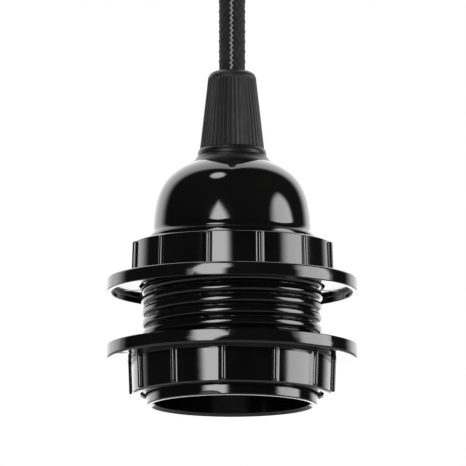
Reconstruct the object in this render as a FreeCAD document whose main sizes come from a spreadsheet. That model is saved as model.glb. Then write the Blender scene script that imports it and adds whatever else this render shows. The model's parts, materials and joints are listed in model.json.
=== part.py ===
import FreeCAD, Part
import Sketcher
import math
import os

# Pendant lamp holder for an E27 screw lamp, hung on a textile cord from a small ceiling rose.
# A threaded skirt carries two shade rings. A domed cap screws into the skirt and clamps the porcelain
# contact carrier in it, and a ribbed cord grip holds the cord. Millimetres, +Z up, with the origin on
# the ceiling at the middle of the rose. Levels are heights above the mouth of the skirt. Radii in the
# holder follow from the screw shell outwards.

SIZES = [
    # screw shell
    ("shell_radius", 13.3),
    ("shell_wall", 0.4),
    ("shell_clearance", 0.2),
    ("shell_thread_length", 14.0),
    ("shell_neck_length", 5.0),
    ("shell_neck_step", 0.7),
    # threaded skirt
    ("skirt_height", 37.0),
    ("skirt_wall", 2.1),
    ("skirt_end_step", 1.0),
    ("skirt_end_round", 0.25),
    ("skirt_turn", -15.0),
    ("thread_start", 2.65),
    ("thread_length", 32.35),
    ("thread_depth", 1.4),
    ("thread_lead_in", 0.5),
    ("thread_pitch", 2.5),
    ("thread_gap_at_crest", 1.5),
    ("thread_gap_at_root", 0.4),
    ("thread_cut_margin", 0.35),
    ("mouth_wall", 1.3),
    ("mouth_bevel", 0.3),
    ("mouth_depth", 10.0),
    ("web_thickness", 2.0),
    ("chamber_step", 1.5),
    ("gate_width", 5.15),
    ("gate_height", 0.8),
    ("gate_depth", 0.35),
    # shade rings
    ("ring_flange_width", 7.65),
    ("ring_rim_height", 3.0),
    ("ring_lip_height", 1.3),
    ("ring_lip_width", 1.3),
    ("ring_edge_round", 0.5),
    ("ring_height", 10.65),
    ("ring_wall", 1.95),
    ("ring_end_bevel", 0.35),
    ("ring_thread_clearance", 0.15),
    ("ring_rib_count", 12),
    ("ring_rib_width", 1.2),
    ("ring_rib_height", 0.75),
    ("ring_rib_round", 0.4),
    ("ring_rib_end_gap", 0.15),
    ("lower_ring_level", 2.45),
    ("shade_gap", 11.7),
    ("upper_ring_turn", 16.0),
    ("lower_ring_turn", 24.8),
    # domed cap
    ("dome_shoulder", 1.05),
    ("dome_height", 17.8),
    ("dome_wall", 2.8),
    ("dome_draft", 0.28),
    ("dome_arc_radius", 12.4),
    ("dome_arc_level", 4.7),
    ("dome_arc_start", 0.86),
    ("dome_lip_width", 0.65),
    ("dome_lip_height", 1.6),
    ("dome_lip_curve", 2.3),
    ("dome_neck_radius", 9.0),
    ("dome_neck_curve", 3.2),
    ("dome_top_radius", 7.45),
    ("spigot_length", 2.0),
    ("boss_radius", 7.2),
    ("boss_height", 4.8),
    # cord grip
    ("stub_radius", 4.95),
    ("stub_clearance", 0.05),
    ("flange_top_radius", 7.0),
    ("flange_curve", 1.6),
    ("flange_height", 1.5),
    ("collet_radius", 5.5),
    ("collet_tip_radius", 4.1),
    ("collet_length", 13.7),
    ("collet_slot", 0.8),
    ("collet_slot_length", 10.0),
    ("collet_slot_count", 6),
    ("grip_length", 17.15),
    ("grip_tip_radius", 5.2),
    ("grip_crown_radius", 3.2),
    ("grip_crown_height", 1.4),
    ("grip_crown_curve", 2.6),
    ("grip_clearance", 0.1),
    ("grip_rib_count", 40),
    ("grip_rib_share", 0.55),
    ("grip_rib_height", 0.3),
    ("grip_rib_root", 0.15),
    # cord and cores
    ("cord_radius", 2.825),
    ("cord_hole_clearance", 0.2),
    ("cord_free", 46.55),
    ("core_radius", 1.05),
    ("core_offset", 1.3),
    ("core_bend", 1.8),
    ("conductor_radius", 0.7),
    ("core_lead", 1.4),
    # contact carrier
    ("carrier_ledge", 0.8),
    ("carrier_clearance", 0.1),
    ("carrier_thickness", 5.0),
    ("carrier_boss_clearance", 0.3),
    ("carrier_boss_height", 1.6),
    ("pocket_radius", 3.6),
    ("pocket_depth", 4.6),
    ("rivet_recess_radius", 1.8),
    ("rivet_recess_depth", 2.0),
    # sprung centre contact
    ("plunger_head_radius", 3.2),
    ("plunger_head_height", 1.2),
    ("plunger_head_round", 0.4),
    ("plunger_stem_radius", 1.1),
    ("plunger_reach", 2.2),
    ("plunger_clearance", 0.3),
    ("plunger_stem_end", 0.7),
    ("clip_groove_depth", 0.3),
    ("clip_thickness", 0.5),
    ("clip_radius", 1.9),
    ("clip_clearance", 0.05),
    ("clip_opening", 1.4),
    ("spring_wire_radius", 0.25),
    ("spring_radius", 2.4),
    ("spring_turns", 4.2),
    # terminals, their rivets and screws
    ("strip_thickness", 0.6),
    ("strip_width", 5.0),
    ("strip_margin", 1.7),
    ("block_length", 6.0),
    ("block_width", 7.0),
    ("block_height", 5.0),
    ("wire_hole_radius", 1.2),
    ("wire_hole_depth", 4.0),
    ("rivet_inset", 1.7),
    ("rivet_margin", 1.4),
    ("rivet_radius", 0.8),
    ("rivet_head_radius", 1.3),
    ("rivet_head_height", 0.6),
    ("rivet_clearance", 0.05),
    ("screw_radius", 1.25),
    ("screw_clearance", 0.05),
    ("screw_head_radius", 1.9),
    ("screw_head_height", 1.3),
    ("screw_head_taper", 0.325),
    ("screw_slot_width", 0.5),
    ("screw_slot_depth", 0.6),
    # ceiling rose
    ("rose_radius", 30.0),
    ("rose_height", 22.0),
    ("rose_wall", 2.0),
    ("rose_edge_round", 6.0),
    ("plate_clearance", 0.2),
    ("plate_thickness", 2.0),
    ("plate_rim_height", 8.0),
    ("plate_hole_pitch", 42.0),
    ("plate_hole_radius", 2.25),
    ("plate_cable_radius", 5.0),
    ("plate_cable_place", 13.0),
    ("rose_block_length", 20.0),
    ("rose_block_width", 8.0),
    ("rose_block_height", 6.0),
    ("rose_grip_radius", 6.0),
    ("rose_grip_height", 5.0),
    ("rose_screw_level", 4.5),
]


class Size:
    """A number together with the expression that gives it from the sheet."""

    def __init__(self, value, text):
        self.value = value
        self.text = text

    def join(self, other, sign, value):
        return Size(value, "(%s %s %s)" % (self.text, sign, as_size(other).text))

    def __add__(self, other):
        return self.join(other, "+", self.value + as_size(other).value)

    def __sub__(self, other):
        return self.join(other, "-", self.value - as_size(other).value)

    def __mul__(self, other):
        return self.join(other, "*", self.value * as_size(other).value)

    def __truediv__(self, other):
        return self.join(other, "/", self.value / as_size(other).value)


def as_size(number):
    return number if isinstance(number, Size) else Size(float(number), repr(number))


def root(size):
    return Size(math.sqrt(size.value), "sqrt(%s)" % size.text)


def across_arc(radius, offset):
    """How far an arc's edge stands from its centre along one axis, at an offset along the other."""
    return root(radius * radius - offset * offset)


def fill_sheet(doc):
    sheet = doc.addObject("Spreadsheet::Sheet", "sizes")
    named = {}
    for row, (name, number) in enumerate(SIZES, start=1):
        sheet.set("A%d" % row, name)
        sheet.set("B%d" % row, repr(number))
        sheet.setAlias("B%d" % row, name)
        named[name] = Size(float(number), "sizes." + name)
    doc.recompute()
    return named


doc = FreeCAD.newDocument("lamp_holder")
S = fill_sheet(doc)
NOTHING = as_size(0)
NODES = []


# ---- helpers: bodies, sketches and features ---------------------------------------------------


def bind(thing, prop, size):
    thing.setExpression(prop, as_size(size).text)


def place(thing, level, across=NOTHING, back=NOTHING, axis=(0, 0, 1), angle=0.0):
    """Put a sub-part at a level above the mouth, after a turn about an axis through its origin."""
    turn = FreeCAD.Rotation(FreeCAD.Vector(*axis), angle)
    thing.Placement = FreeCAD.Placement(FreeCAD.Vector(0, 0, 0), turn)
    bind(thing, "Placement.Base.x", across)
    bind(thing, "Placement.Base.y", back)
    bind(thing, "Placement.Base.z", level - CEILING)


def new_body(name):
    body = doc.addObject("PartDesign::Body", name)
    body.Label = name
    NODES.append(body)
    return body


def origin_part(body, role):
    return next(part for part in body.Origin.OriginFeatures if part.Role == role)


def new_sketch(body, name, plane, lift=None):
    sketch = body.newObject("Sketcher::SketchObject", body.Name + "_" + name)
    sketch.AttachmentSupport = [(origin_part(body, plane), "")]
    sketch.MapMode = "FlatFace"
    if lift is not None:
        bind(sketch, "AttachmentOffset.Base.z", lift)
    return sketch


def pin(sketch, geometry, end, across, up):
    """Hold one point of a sketch at its two sizes, or on the axis where a size is nothing."""
    for kind, size, axis in (("DistanceX", across, -2), ("DistanceY", up, -1)):
        if as_size(size) is NOTHING:
            sketch.addConstraint(Sketcher.Constraint("PointOnObject", geometry, end, axis))
            continue
        index = sketch.addConstraint(Sketcher.Constraint(kind, -1, 1, geometry, end, as_size(size).value))
        bind(sketch, "Constraints[%d]" % index, size)


def arc_middle(start, end, radius, side):
    """The middle of an arc of this radius that turns to the given side, left or right, on its way."""
    chord = end - start
    left = FreeCAD.Vector(-chord.y, chord.x, 0).normalize()
    sagitta = radius - math.sqrt(radius**2 - (chord.Length / 2) ** 2)
    return (start + end) * 0.5 - left * (sagitta if side == "left" else -sagitta)


def outline(body, name, plane, corners, lift=None):
    """A closed sketch outline. Each corner is (across, up), or (across, up, radius, side) after an arc."""
    sketch = new_sketch(body, name, plane, lift)
    spots = [FreeCAD.Vector(as_size(c[0]).value, as_size(c[1]).value, 0) for c in corners]
    ends = []
    for number, corner in enumerate(corners):
        start, end = spots[number - 1], spots[number]
        if len(corner) == 2:
            side = sketch.addGeometry(Part.LineSegment(start, end))
            ends.append((side, 1, 2))
            continue
        middle = arc_middle(start, end, corner[2].value, corner[3])
        side = sketch.addGeometry(Part.Arc(start, middle, end))
        forward = (sketch.getPoint(side, 1) - start).Length < (sketch.getPoint(side, 2) - start).Length
        ends.append((side, 1, 2) if forward else (side, 2, 1))
        index = sketch.addConstraint(Sketcher.Constraint("Radius", side, corner[2].value))
        bind(sketch, "Constraints[%d]" % index, corner[2])
    for number, corner in enumerate(corners):
        side, _, last = ends[number]
        follower, first, _ = ends[(number + 1) % len(ends)]
        sketch.addConstraint(Sketcher.Constraint("Coincident", side, last, follower, first))
        pin(sketch, side, last, corner[0], corner[1])
    return sketch


def circle(body, name, plane, radius, across=NOTHING, up=NOTHING, lift=None):
    sketch = new_sketch(body, name, plane, lift)
    centre = FreeCAD.Vector(as_size(across).value, as_size(up).value, 0)
    ring = sketch.addGeometry(Part.Circle(centre, FreeCAD.Vector(0, 0, 1), radius.value))
    index = sketch.addConstraint(Sketcher.Constraint("Radius", ring, radius.value))
    bind(sketch, "Constraints[%d]" % index, radius)
    pin(sketch, ring, 3, across, up)
    return sketch


def revolve(body, corners, name="turned", angle=None):
    """A turned solid, or a slice of one when an angle is given, about the body's own Z axis."""
    sketch = outline(body, name + "_outline", "XZ_Plane", corners)
    feature = body.newObject("PartDesign::Revolution", body.Name + "_" + name)
    feature.Profile = sketch
    feature.ReferenceAxis = (sketch, ["V_Axis"])
    feature.Angle = 360.0
    if angle is not None:
        feature.Midplane = True
        bind(feature, "Angle", angle)
    body.Tip = feature
    return feature


def pad(body, sketch, length, both_sides=False):
    feature = body.newObject("PartDesign::Pad", sketch.Name + "_pad")
    feature.Profile = sketch
    feature.Midplane = both_sides
    bind(feature, "Length", length)
    body.Tip = feature
    return feature


def pocket(body, sketch, length, reverse=False, both_sides=False):
    """Cut from a sketch, against its normal, or along it when reversed. It has to take something away."""
    doc.recompute()
    before = body.Shape.Volume
    feature = body.newObject("PartDesign::Pocket", sketch.Name + "_cut")
    feature.Profile = sketch
    feature.Reversed = reverse
    feature.Midplane = both_sides
    bind(feature, "Length", length)
    body.Tip = feature
    doc.recompute()
    if not body.Shape.Volume < before:
        raise ValueError("%s cuts nothing" % feature.Name)
    return feature


def around(body, features, count):
    """Repeat features in a full circle about the body's own Z axis."""
    pattern = body.newObject("PartDesign::PolarPattern", features[-1].Name + "_around")
    pattern.Originals = features
    pattern.Axis = (origin_part(body, "Z_Axis"), [""])
    pattern.Angle = 360.0
    bind(pattern, "Occurrences", count)
    body.Tip = pattern
    return pattern


# ---- radii from the screw shell outwards ------------------------------------------------------

SHELL_OUTSIDE = S["shell_radius"] + S["shell_wall"]
WEB_HOLE = SHELL_OUTSIDE + S["shell_clearance"]
CHAMBER_RADIUS = WEB_HOLE + S["chamber_step"]
SEAT_RADIUS = CHAMBER_RADIUS + S["carrier_ledge"]
CARRIER_RADIUS = SEAT_RADIUS - S["carrier_clearance"]
THREAD_ROOT = SEAT_RADIUS + S["skirt_wall"]
THREAD_CREST = THREAD_ROOT + S["thread_depth"]
SKIRT_END_RADIUS = THREAD_CREST - S["skirt_end_step"]
MOUTH_RADIUS = THREAD_ROOT - S["mouth_wall"]
DOME_RADIUS = THREAD_ROOT - S["dome_shoulder"]
RING_BORE = THREAD_CREST + S["ring_thread_clearance"]
RING_COLLAR = RING_BORE + S["ring_wall"]
RING_FLANGE = RING_BORE + S["ring_flange_width"]
RIVET_PLACE = S["shell_radius"] - S["shell_neck_step"] - S["rivet_inset"]
SHELL_FLANGE_HOLE = RIVET_PLACE - S["rivet_margin"]
STRIP_END = RIVET_PLACE + S["strip_margin"]
BLOCK_START = SHELL_FLANGE_HOLE - S["block_length"]
BLOCK_MIDDLE = BLOCK_START + S["block_length"] / 2
CORD_HOLE = S["cord_radius"] + S["cord_hole_clearance"]


# ---- levels above the mouth -------------------------------------------------------------------

SKIRT_TOP = S["skirt_height"]
THREAD_TOP = S["thread_start"] + S["thread_length"]
CARRIER_TOP = SKIRT_TOP - S["spigot_length"]
CARRIER_SEAT = CARRIER_TOP - S["carrier_thickness"]
CARRIER_BOTTOM = CARRIER_SEAT - S["carrier_boss_height"]
WEB_TOP = S["mouth_depth"] + S["web_thickness"]
SHELL_BOTTOM = CARRIER_SEAT - S["shell_neck_length"] - S["shell_thread_length"]
SHELL_FLANGE_BOTTOM = CARRIER_SEAT - S["shell_wall"]
POCKET_TOP = CARRIER_BOTTOM + S["pocket_depth"]
PLUNGER_BOTTOM = CARRIER_BOTTOM - S["plunger_reach"]
STRIP_TOP = CARRIER_TOP + S["strip_thickness"]
BLOCK_TOP = STRIP_TOP + S["block_height"]
DOME_TOP = SKIRT_TOP + S["dome_height"]
BOSS_BOTTOM = DOME_TOP - S["boss_height"]
FLANGE_TOP = DOME_TOP + S["flange_height"]
GRIP_TOP = FLANGE_TOP + S["grip_length"]
CORE_RISE = S["core_lead"] + S["core_bend"] * 2 + S["core_lead"]
CORD_BOTTOM = BLOCK_TOP + CORE_RISE
ROSE_BOTTOM = GRIP_TOP + S["cord_free"]
CEILING = ROSE_BOTTOM + S["rose_height"]
PLATE_BOTTOM = CEILING - S["plate_thickness"]
ROSE_BLOCK_BOTTOM = PLATE_BOTTOM - S["rose_block_height"]
CORD_TOP = ROSE_BLOCK_BOTTOM - CORE_RISE

# The lower ring is the same moulding turned over, about a level axis that also sets its ribs.
LOWER_RING_HALF_TURN = math.radians(S["lower_ring_turn"].value / 2)
LOWER_RING_AXIS = (math.cos(LOWER_RING_HALF_TURN), math.sin(LOWER_RING_HALF_TURN), 0)


# ---- threaded skirt and its two shade rings ---------------------------------------------------


def make_threaded_skirt():
    body = new_body("threaded_skirt")
    end = SKIRT_END_RADIUS
    edge = S["skirt_end_round"]
    lead = S["thread_lead_in"]
    revolve(body, [
        (MOUTH_RADIUS + S["mouth_bevel"], NOTHING),
        (end - edge, NOTHING),
        (end, edge, edge, "left"),
        (end, S["thread_start"]),
        (THREAD_CREST, S["thread_start"] + lead),
        (THREAD_CREST, THREAD_TOP - lead),
        (THREAD_ROOT, THREAD_TOP),
        (THREAD_ROOT, SKIRT_TOP),
        (SEAT_RADIUS, SKIRT_TOP),
        (SEAT_RADIUS, CARRIER_SEAT),
        (CHAMBER_RADIUS, CARRIER_SEAT),
        (CHAMBER_RADIUS, WEB_TOP),
        (WEB_HOLE, WEB_TOP),
        (WEB_HOLE, S["mouth_depth"]),
        (MOUTH_RADIUS, S["mouth_depth"]),
        (MOUTH_RADIUS, S["mouth_bevel"]),
    ])
    cut_gate_mark(body)
    cut_thread(body)
    place(body, NOTHING, angle=S["skirt_turn"].value)


def cut_gate_mark(body):
    """The shallow half-round mark on the rim where the moulding was broken from its sprue."""
    half = S["gate_width"] / 2
    height = S["gate_height"]
    curve = (half * half + height * height) / (height * 2)
    sketch = new_sketch(body, "gate_mark", "XZ_Plane", SKIRT_END_RADIUS - S["gate_depth"])
    middle = FreeCAD.Vector(0, (height - curve).value, 0)
    mark = sketch.addGeometry(Part.Circle(middle, FreeCAD.Vector(0, 0, 1), curve.value))
    index = sketch.addConstraint(Sketcher.Constraint("Radius", mark, curve.value))
    bind(sketch, "Constraints[%d]" % index, curve)
    sketch.addConstraint(Sketcher.Constraint("PointOnObject", mark, 3, -2))
    index = sketch.addConstraint(Sketcher.Constraint("DistanceY", mark, 3, -1, 1, (curve - height).value))
    bind(sketch, "Constraints[%d]" % index, curve - height)
    pocket(body, sketch, THREAD_CREST, reverse=True)


def cut_thread(body):
    """The screw groove between the crests, cut along a helix from the lead-in to the run-out."""
    doc.recompute()
    before = body.Shape.Volume
    bottom = S["thread_start"] + S["thread_pitch"]
    rise = THREAD_TOP - S["thread_pitch"] - bottom
    top_half = S["thread_gap_at_crest"] / 2
    root_half = S["thread_gap_at_root"] / 2
    margin = S["thread_cut_margin"]
    past = THREAD_CREST + margin
    over = top_half + (top_half - root_half) * margin / S["thread_depth"]
    sketch = outline(body, "groove", "XZ_Plane", [
        (THREAD_ROOT, bottom - root_half),
        (past, bottom - over),
        (past, bottom + over),
        (THREAD_ROOT, bottom + root_half),
    ])
    feature = body.newObject("PartDesign::SubtractiveHelix", "thread")
    feature.Profile = sketch
    feature.ReferenceAxis = (sketch, ["V_Axis"])
    feature.Mode = "pitch-height-angle"
    bind(feature, "Pitch", S["thread_pitch"])
    bind(feature, "Height", rise)
    body.Tip = feature
    doc.recompute()
    if not body.Shape.Volume < before:
        raise ValueError("the thread cuts nothing")


def make_shade_ring(name, level, turn, axis):
    """A ring with a flange for the shade and a ribbed collar to turn it by, threaded on the skirt."""
    body = new_body(name)
    edge = S["ring_edge_round"]
    rim = S["ring_rim_height"]
    bevel = S["ring_end_bevel"]
    lip = RING_FLANGE - S["ring_lip_width"]
    revolve(body, [
        (lip, NOTHING),
        (RING_FLANGE, NOTHING),
        (RING_FLANGE, rim - edge),
        (RING_FLANGE - edge, rim, edge, "left"),
        (RING_COLLAR, rim),
        (RING_COLLAR, S["ring_height"] - bevel),
        (RING_COLLAR - bevel, S["ring_height"]),
        (RING_BORE, S["ring_height"]),
        (RING_BORE, S["ring_lip_height"]),
        (lip, S["ring_lip_height"]),
    ])
    end = S["ring_height"] - S["ring_rib_end_gap"]
    outside = RING_COLLAR + S["ring_rib_height"]
    inside = (RING_BORE + RING_COLLAR) / 2
    turn_in = S["ring_rib_round"]
    sketch = outline(body, "rib", "XZ_Plane", [
        (inside, rim),
        (outside, rim),
        (outside, end - turn_in),
        (outside - turn_in, end, turn_in, "left"),
        (inside, end),
    ])
    rib = pad(body, sketch, S["ring_rib_width"], both_sides=True)
    around(body, [rib], S["ring_rib_count"])
    place(body, level, axis=axis, angle=turn)


# ---- domed cap, cord grip and cord ------------------------------------------------------------


def make_dome_cap():
    body = new_body("dome_cap")
    foot = S["spigot_length"]
    arc = S["dome_arc_radius"]
    arc_centre = foot + S["dome_arc_level"]
    drafted = DOME_RADIUS - S["dome_draft"]
    middle = drafted - across_arc(arc, S["dome_arc_start"])
    neck = S["dome_neck_radius"]
    neck_level = arc_centre + across_arc(arc, neck - middle)
    top = foot + S["dome_height"]
    bore = S["stub_radius"] + S["stub_clearance"]
    boss = S["boss_radius"]
    inner_arc = arc - S["dome_wall"]
    inside = middle + inner_arc
    boss_meets = arc_centre + across_arc(inner_arc, boss - middle)
    revolve(body, [
        (inside, NOTHING),
        (CARRIER_RADIUS, NOTHING),
        (CARRIER_RADIUS, foot),
        (DOME_RADIUS + S["dome_lip_width"], foot),
        (DOME_RADIUS, foot + S["dome_lip_height"], S["dome_lip_curve"], "right"),
        (drafted, arc_centre + S["dome_arc_start"]),
        (neck, neck_level, arc, "left"),
        (S["dome_top_radius"], top, S["dome_neck_curve"], "right"),
        (bore, top),
        (bore, top - S["boss_height"]),
        (boss, top - S["boss_height"]),
        (boss, boss_meets),
        (inside, arc_centre, inner_arc, "right"),
    ])
    place(body, CARRIER_TOP)


def make_gland_body():
    """The threaded stub and flange that stand in the dome, with a slit collet round the cord."""
    body = new_body("gland_body")
    stub = S["stub_radius"]
    shoulder = S["boss_height"]
    flange_top = shoulder + S["flange_height"]
    tip = flange_top + S["collet_length"]
    revolve(body, [
        (S["cord_radius"], NOTHING),
        (stub, NOTHING),
        (stub, shoulder),
        (S["dome_top_radius"], shoulder),
        (S["flange_top_radius"], flange_top, S["flange_curve"], "left"),
        (S["collet_radius"], flange_top),
        (S["collet_tip_radius"], tip),
        (S["cord_radius"], tip),
    ])
    half = S["collet_slot"] / 2
    bottom = tip - S["collet_slot_length"]
    slot = new_sketch(body, "slot", "XZ_Plane")
    draw_slot(slot, half, bottom, tip + half)
    cut = pocket(body, slot, S["collet_radius"], reverse=True)
    around(body, [cut], S["collet_slot_count"])
    place(body, BOSS_BOTTOM)


def draw_slot(sketch, half, bottom, top):
    """A rectangle as wide as twice half, centred on the sketch's upright axis."""
    corners = [(-1, bottom), (1, bottom), (1, top), (-1, top)]
    spots = [FreeCAD.Vector(sign * half.value, up.value, 0) for sign, up in corners]
    sides = [sketch.addGeometry(Part.LineSegment(spots[i - 1], spots[i])) for i in range(4)]
    for i, side in enumerate(sides):
        sketch.addConstraint(Sketcher.Constraint("Coincident", side, 2, sides[(i + 1) % 4], 1))
    sketch.addConstraint(Sketcher.Constraint("Symmetric", sides[1], 1, sides[1], 2, -2))
    sketch.addConstraint(Sketcher.Constraint("Symmetric", sides[3], 1, sides[3], 2, -2))
    for side, up in ((sides[1], bottom), (sides[3], top)):
        index = sketch.addConstraint(Sketcher.Constraint("DistanceY", -1, 1, side, 1, up.value))
        bind(sketch, "Constraints[%d]" % index, up)
    width = half * 2
    index = sketch.addConstraint(Sketcher.Constraint("DistanceX", sides[1], 1, sides[1], 2, width.value))
    bind(sketch, "Constraints[%d]" % index, width)


def make_grip_cap():
    """The ribbed cap that screws down over the collet and squeezes it on the cord."""
    body = new_body("grip_cap")
    rib = S["grip_rib_height"]
    rib_root = rib + S["grip_rib_root"]
    foot = S["flange_top_radius"]
    tip = S["grip_tip_radius"]
    crown = S["grip_length"] - S["grip_crown_height"]
    clearance = S["grip_clearance"]
    cone_top = S["collet_length"] + clearance
    revolve(body, [
        (S["collet_radius"] + clearance, NOTHING),
        (foot - rib, NOTHING),
        (tip - rib, crown),
        (S["grip_crown_radius"], S["grip_length"], S["grip_crown_curve"], "left"),
        (CORD_HOLE, S["grip_length"]),
        (CORD_HOLE, cone_top + clearance),
        (S["collet_tip_radius"] + clearance, cone_top),
    ], name="core")
    pitch = as_size(360) / S["grip_rib_count"]
    ribs = revolve(body, [
        (foot - rib_root, NOTHING),
        (foot, NOTHING),
        (tip, crown - rib),
        (tip - rib_root, crown),
    ], name="rib", angle=pitch * S["grip_rib_share"])
    around(body, [ribs], S["grip_rib_count"])
    place(body, FLANGE_TOP)


def make_cord():
    """Two cores in one round sheath, from inside the dome up into the rose."""
    body = new_body("cord")
    pad(body, circle(body, "section", "XY_Plane", S["cord_radius"]), CORD_TOP - CORD_BOTTOM)
    place(body, CORD_BOTTOM)


def make_core(name, level, axis, angle):
    """An insulated core with a bare end: out of the sheath, across in two bends and into a terminal."""
    body = new_body(name)
    bend = S["core_bend"]
    near = S["core_offset"]
    far = BLOCK_MIDDLE
    lead = S["core_lead"]
    depth = S["wire_hole_depth"] / 2
    section = circle(body, "section", "XY_Plane", S["core_radius"], across=near)
    spine = new_sketch(body, "spine", "XZ_Plane")
    turns = [
        (near, NOTHING, None),
        (near, lead, None),
        (near + bend, lead + bend, "right"),
        (far - bend, lead + bend, None),
        (far, lead + bend * 2, "left"),
        (far, CORE_RISE, None),
    ]
    draw_path(spine, turns, bend)
    tube = body.newObject("PartDesign::AdditivePipe", body.Name + "_tube")
    tube.Profile = section
    tube.Spine = (spine, [])
    body.Tip = tube
    doc.recompute()
    bare = circle(body, "bare_end", "XY_Plane", S["conductor_radius"], across=far, lift=CORE_RISE)
    pad(body, bare, depth)
    place(body, level, axis=axis, angle=angle)
    return body


def draw_path(sketch, turns, radius):
    """An open path of straight runs and tangent arcs of one radius through the given points."""
    spots = [FreeCAD.Vector(across.value, up.value, 0) for across, up, _ in turns]
    ends = []
    for number in range(1, len(turns)):
        start, end = spots[number - 1], spots[number]
        side = turns[number][2]
        if side is None:
            ends.append((sketch.addGeometry(Part.LineSegment(start, end)), 1, 2))
            continue
        middle = arc_middle(start, end, radius.value, side)
        arc = sketch.addGeometry(Part.Arc(start, middle, end))
        forward = (sketch.getPoint(arc, 1) - start).Length < (sketch.getPoint(arc, 2) - start).Length
        ends.append((arc, 1, 2) if forward else (arc, 2, 1))
        index = sketch.addConstraint(Sketcher.Constraint("Radius", arc, radius.value))
        bind(sketch, "Constraints[%d]" % index, radius)
    pin(sketch, ends[0][0], ends[0][1], turns[0][0], turns[0][1])
    for number, (side, _, last) in enumerate(ends):
        if number + 1 < len(ends):
            follower, first, _ = ends[number + 1]
            sketch.addConstraint(Sketcher.Constraint("Coincident", side, last, follower, first))
        pin(sketch, side, last, turns[number + 1][0], turns[number + 1][1])
    return sketch


# ---- contacts inside the skirt ----------------------------------------------------------------


def make_screw_shell():
    """The metal shell that the lamp screws into, with a neck and a flange under the carrier."""
    body = new_body("screw_shell")
    wall = S["shell_wall"]
    inside = S["shell_radius"]
    step = S["shell_neck_step"]
    straight = S["shell_thread_length"]
    top = straight + S["shell_neck_length"]
    revolve(body, [
        (inside, NOTHING),
        (inside + wall, NOTHING),
        (inside + wall, straight + wall),
        (inside + wall - step, straight + wall),
        (inside + wall - step, top),
        (SHELL_FLANGE_HOLE, top),
        (SHELL_FLANGE_HOLE, top - wall),
        (inside - step, top - wall),
        (inside - step, straight),
        (inside, straight),
    ])
    rivet_hole = S["rivet_radius"] + S["rivet_clearance"]
    hole = circle(body, "rivet_hole", "XY_Plane", rivet_hole, across=RIVET_PLACE, lift=top)
    pocket(body, hole, wall)
    place(body, SHELL_BOTTOM, angle=180.0)


def make_contact_carrier():
    """The porcelain disc that insulates the contacts, with a pocket for the sprung centre contact."""
    body = new_body("contact_carrier")
    boss = SHELL_FLANGE_HOLE - S["carrier_boss_clearance"]
    shelf = S["carrier_boss_height"]
    top = shelf + S["carrier_thickness"]
    stem_hole = S["plunger_stem_radius"] + S["plunger_clearance"]
    revolve(body, [
        (S["pocket_radius"], NOTHING),
        (boss, NOTHING),
        (boss, shelf),
        (CARRIER_RADIUS, shelf),
        (CARRIER_RADIUS, top),
        (stem_hole, top),
        (stem_hole, S["pocket_depth"]),
        (S["pocket_radius"], S["pocket_depth"]),
    ])
    rivet_hole = S["rivet_radius"] + S["rivet_clearance"]
    hole = circle(body, "rivet_hole", "XY_Plane", rivet_hole, across=RIVET_PLACE, lift=top)
    around(body, [pocket(body, hole, top)], as_size(2))
    recess = circle(body, "recess", "XY_Plane", S["rivet_recess_radius"], across=RIVET_PLACE)
    pocket(body, recess, shelf + S["rivet_recess_depth"], reverse=True)
    place(body, CARRIER_BOTTOM)


def make_centre_plunger():
    """The centre contact: a rounded head on a stem that slides in the carrier and is held by a clip."""
    body = new_body("centre_plunger")
    head = S["plunger_head_radius"]
    edge = S["plunger_head_round"]
    stem = S["plunger_stem_radius"]
    slack = S["clip_clearance"]
    groove = stem - S["clip_groove_depth"]
    groove_bottom = STRIP_TOP - PLUNGER_BOTTOM + slack
    groove_top = groove_bottom + S["clip_thickness"] + slack * 2
    revolve(body, [
        (NOTHING, NOTHING),
        (head - edge, NOTHING),
        (head, edge, edge, "left"),
        (head, S["plunger_head_height"]),
        (stem, S["plunger_head_height"]),
        (stem, groove_bottom),
        (groove, groove_bottom),
        (groove, groove_top),
        (stem, groove_top),
        (stem, groove_top + S["plunger_stem_end"]),
        (NOTHING, groove_top + S["plunger_stem_end"]),
    ])
    place(body, PLUNGER_BOTTOM)


def make_plunger_clip():
    """The open ring in the stem's groove that keeps the spring from pushing the plunger out."""
    body = new_body("plunger_clip")
    inside = S["plunger_stem_radius"] - S["clip_groove_depth"]
    revolve(body, [
        (inside, NOTHING),
        (S["clip_radius"], NOTHING),
        (S["clip_radius"], S["clip_thickness"]),
        (inside, S["clip_thickness"]),
    ])
    opening = new_sketch(body, "opening", "XZ_Plane")
    draw_slot(opening, S["clip_opening"] / 2, NOTHING - S["clip_thickness"], S["clip_thickness"] * 2)
    pocket(body, opening, S["clip_radius"] * 2, reverse=True)
    place(body, STRIP_TOP + S["clip_clearance"] * 2)


def make_plunger_spring():
    """A compression spring between the plunger's head and the top of the carrier's pocket."""
    body = new_body("plunger_spring")
    wire = S["spring_wire_radius"]
    bottom = PLUNGER_BOTTOM + S["plunger_head_height"]
    sketch = circle(body, "wire", "XZ_Plane", wire, across=S["spring_radius"], up=wire)
    coil = body.newObject("PartDesign::AdditiveHelix", "spring_coil")
    coil.Profile = sketch
    coil.ReferenceAxis = (sketch, ["V_Axis"])
    coil.Mode = "height-turns-angle"
    bind(coil, "Height", POCKET_TOP - bottom - wire * 2)
    bind(coil, "Turns", S["spring_turns"])
    body.Tip = coil
    place(body, bottom)


def box_outline(body, name, left, right, bottom, top):
    """A rectangle on the upright plane through the body's X and Z axes."""
    return outline(body, name, "XZ_Plane", [(left, bottom), (right, bottom), (right, top), (left, top)])


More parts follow.
